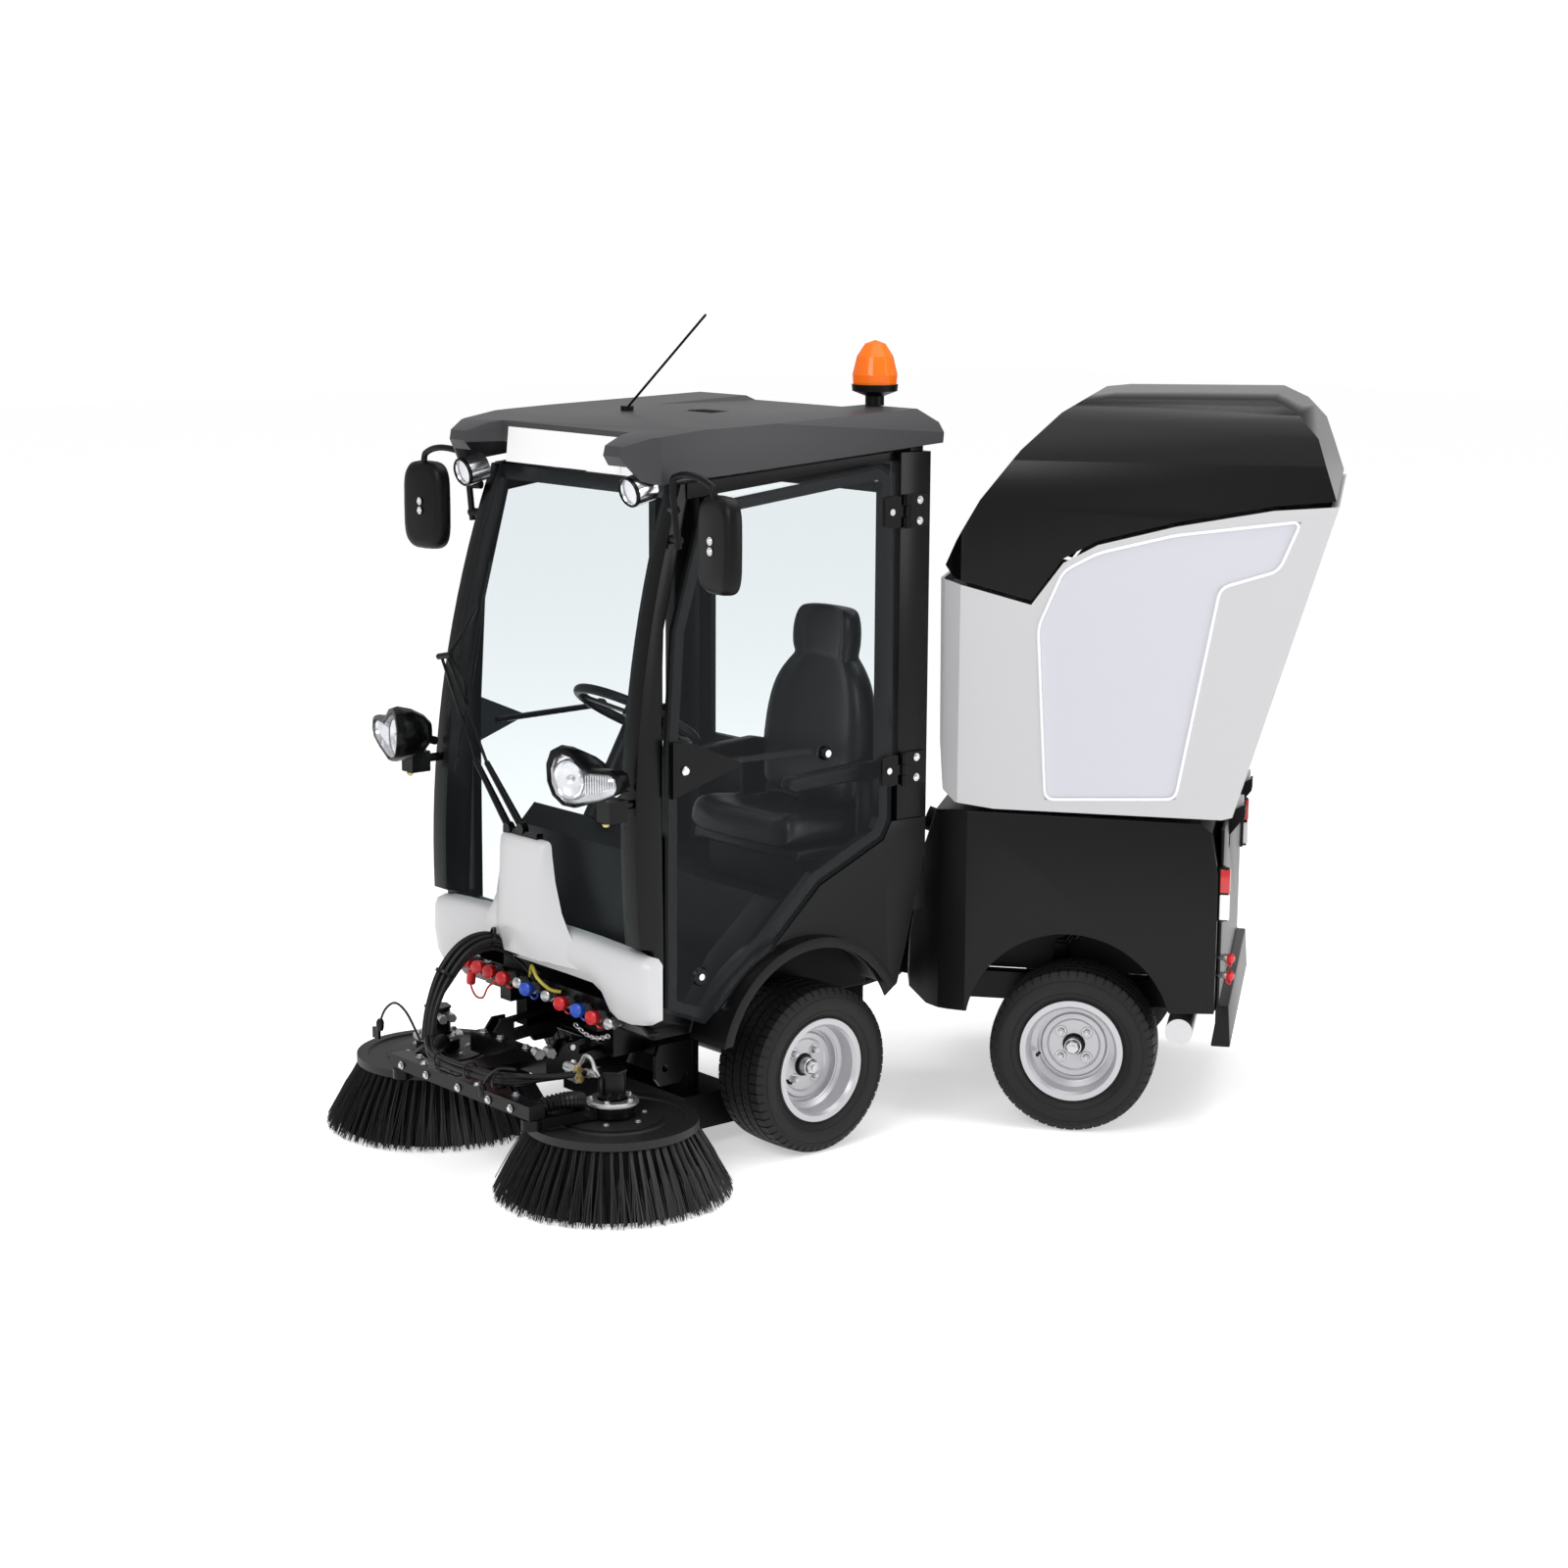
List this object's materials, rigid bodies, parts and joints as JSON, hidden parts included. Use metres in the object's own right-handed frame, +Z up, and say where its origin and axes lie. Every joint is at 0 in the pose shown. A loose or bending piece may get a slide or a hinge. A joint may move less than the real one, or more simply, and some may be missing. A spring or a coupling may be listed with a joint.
{
  "type": "compact articulated road sweeper",
  "caption": "Compact articulated sweeper: glazed cab on a front chassis hinged to a rear chassis with a tipping hopper, front disc brushes on a lifting parallelogram and a suction mouth.",
  "frame": {"origin": "on the ground at the middle of the parked outline", "axes": "+X to the left of the cab, +Y to the rear of the cab, +Z up; the rear section is folded to its left lock"},
  "size_m": [2.0933, 2.8569, 2.2728],
  "materials": {
    "black_frame": "semi-gloss black paint",
    "black_plastic": "fine-grained black moulding",
    "cab_glass": "clear tinted glazing",
    "dark_grey": "satin dark grey moulding",
    "light_grey": "satin light grey paint",
    "seat_vinyl": "black seat vinyl",
    "lamp": "clear lamp lens over a reflector",
    "amber_dome": "clear amber plastic",
    "engine_iron": "cast iron block",
    "red_lamp": "red and amber lens",
    "bare_steel": "worn bare steel",
    "rim_paint": "light silver-grey wheel paint",
    "tyre_rubber": "matt tread rubber",
    "bristle": "dark nylon bristles",
    "rod_chrome": "hard chrome rod"
  },
  "bodies": {
    "front_section": {"front_frame": "black_frame", "front_axle": "black_frame", "coupling_bar": "black_frame", "cab_floor": "black_plastic", "cab_frame": "black_frame", "cab_windows": "cab_glass", "rear_wall": "black_plastic", "roof": "dark_grey", "front_panel": "light_grey", "dashboard": "black_plastic", "seat_base": "black_plastic", "seat_cushion": "seat_vinyl", "seat_backrest": "seat_vinyl", "armrests": "black_plastic", "door_hinges": "black_frame", "headlights": "lamp", "work_lights": "lamp", "mirrors": "black_plastic", "wiper": "black_plastic", "beacon_base": "black_plastic", "beacon_dome": "amber_dome", "antenna": "black_plastic", "suction_mouth": "black_plastic", "front_fenders": "black_plastic"},
    "rear_section": {"rear_frame": "black_frame", "rear_body": "black_plastic", "engine": "engine_iron", "rear_plate": "black_plastic", "tail_lamps": "red_lamp", "muffler": "bare_steel", "filler_cap": "black_plastic", "rear_axle": "black_frame"},
    "wheel_front_left": {"rim_front_left": "rim_paint", "tyre_front_left": "tyre_rubber"},
    "wheel_front_right": {"rim_front_right": "rim_paint", "tyre_front_right": "tyre_rubber"},
    "wheel_rear_left": {"rim_rear_left": "rim_paint", "tyre_rear_left": "tyre_rubber"},
    "wheel_rear_right": {"rim_rear_right": "rim_paint", "tyre_rear_right": "tyre_rubber"},
    "door_left": {"door_frame_left": "black_frame", "door_glass_left": "cab_glass"},
    "brush_swing_left": {"brush_arm_left": "black_frame"},
    "brush_left": {"brush_disc_left": "black_plastic", "bristles_left": "bristle"},
    "door_right": {"door_frame_right": "black_frame", "door_glass_right": "cab_glass"},
    "brush_swing_right": {"brush_arm_right": "black_frame"},
    "brush_right": {"brush_disc_right": "black_plastic", "bristles_right": "bristle"},
    "steering": {"steering_wheel": "black_plastic"},
    "lift": {"brush_lift_arms": "black_frame"},
    "ties": {"brush_tie_bars": "black_frame"},
    "head": {"brush_head": "black_frame"},
    "hopper": {"hopper_body": "light_grey"},
    "lid": {"hopper_lid": "black_plastic"},
    "tip_barrels": {"tip_cylinders": "black_frame"},
    "tip_rod_pair": {"tip_rods": "rod_chrome"}
  },
  "joints": [
    {"name": "articulation", "type": "hinge", "parent": "front_section", "child": "rear_section", "pos_m": [-0.306, 0.206, 0.43], "axis": [0, 0, 1], "range_deg": [0, 103.6]},
    {"name": "front_wheel_left", "type": "hinge", "parent": "front_section", "child": "wheel_front_left", "pos_m": [0.115, -0.468, 0.234], "axis": [1, 0, 0], "continuous": true},
    {"name": "rear_wheel_left", "type": "hinge", "parent": "rear_section", "child": "wheel_rear_left", "pos_m": [0.4463, 0.26228, 0.234], "axis": [0.6184, -0.7859, 0], "continuous": true},
    {"name": "left_door", "type": "hinge", "parent": "front_section", "child": "door_left", "pos_m": [0.22431, -0.2011, 1.395], "axis": [0, 0, 1], "range_deg": [0, 80]},
    {"name": "front_wheel_right", "type": "hinge", "parent": "front_section", "child": "wheel_front_right", "pos_m": [-0.727, -0.468, 0.234], "axis": [1, 0, 0], "continuous": true},
    {"name": "rear_wheel_right", "type": "hinge", "parent": "rear_section", "child": "wheel_rear_right", "pos_m": [-0.0744, 0.92397, 0.234], "axis": [0.6184, -0.7859, 0], "continuous": true},
    {"name": "right_door", "type": "hinge", "parent": "front_section", "child": "door_right", "pos_m": [-0.83631, -0.2011, 1.395], "axis": [0, 0, -1], "range_deg": [0, 80]},
    {"name": "steering_turn", "type": "hinge", "parent": "front_section", "child": "steering", "pos_m": [-0.121, -0.853, 1.215], "axis": [0, 0.5, 0.866], "continuous": true},
    {"name": "brush_raise", "type": "hinge", "parent": "front_section", "child": "lift", "pos_m": [-0.306, -0.798, 0.31], "axis": [-1, 0, 0], "range_deg": [0, 12]},
    {"name": "tie_link", "type": "hinge", "parent": "front_section", "child": "ties", "pos_m": [-0.306, -0.798, 0.355], "axis": [-1, 0, 0], "range_deg": [-0.5, 12.5]},
    {"name": "head_level", "type": "hinge", "parent": "lift", "child": "head", "pos_m": [-0.306, -1.068, 0.29], "axis": [-1, 0, 0], "range_deg": [-12.5, 0.5]},
    {"name": "brush_reach_left", "type": "hinge", "parent": "head", "child": "brush_swing_left", "pos_m": [0.079, -1.353, 0.229], "axis": [0, 0, -1], "range_deg": [0, 12]},
    {"name": "brush_spin_left", "type": "hinge", "parent": "brush_swing_left", "child": "brush_left", "pos_m": [0.102, -1.11, 0.195], "axis": [0, 0, 1], "continuous": true},
    {"name": "brush_reach_right", "type": "hinge", "parent": "head", "child": "brush_swing_right", "pos_m": [-0.521, -1.353, 0.229], "axis": [0, 0, 1], "range_deg": [0, 12]},
    {"name": "brush_spin_right", "type": "hinge", "parent": "brush_swing_right", "child": "brush_right", "pos_m": [-0.714, -1.11, 0.195], "axis": [0, 0, 1], "continuous": true},
    {"name": "hopper_tip", "type": "hinge", "parent": "rear_section", "child": "hopper", "pos_m": [0.52229, 0.8578, 0.888], "axis": [-0.6184, 0.7859, 0], "range_deg": [0, 50]},
    {"name": "lid_open", "type": "hinge", "parent": "hopper", "child": "lid", "pos_m": [-0.09068, 0.37544, 1.585], "axis": [0.6184, -0.7859, 0], "range_deg": [0, 38]},
    {"name": "cylinder_swing", "type": "hinge", "parent": "rear_section", "child": "tip_barrels", "pos_m": [0.1388, 0.55602, 0.47], "axis": [-0.6184, 0.7859, 0], "range_deg": [-3, 1]},
    {"name": "rod_slide", "type": "slide", "parent": "tip_barrels", "child": "tip_rod_pair", "axis": [0.4631, 0.3644, 0.8079], "range_m": [-0.002, 0.155]}
  ],
  "couplings": [
    {"joint": "tie_link", "follows": "brush_raise", "ratio": 1},
    {"joint": "head_level", "follows": "brush_raise", "ratio": -1},
    {"joint": "cylinder_swing", "follows": "hopper_tip", "ratio": -0.03934},
    {"joint": "rod_slide", "follows": "hopper_tip", "m_per_rad": 0.17094}
  ]
}
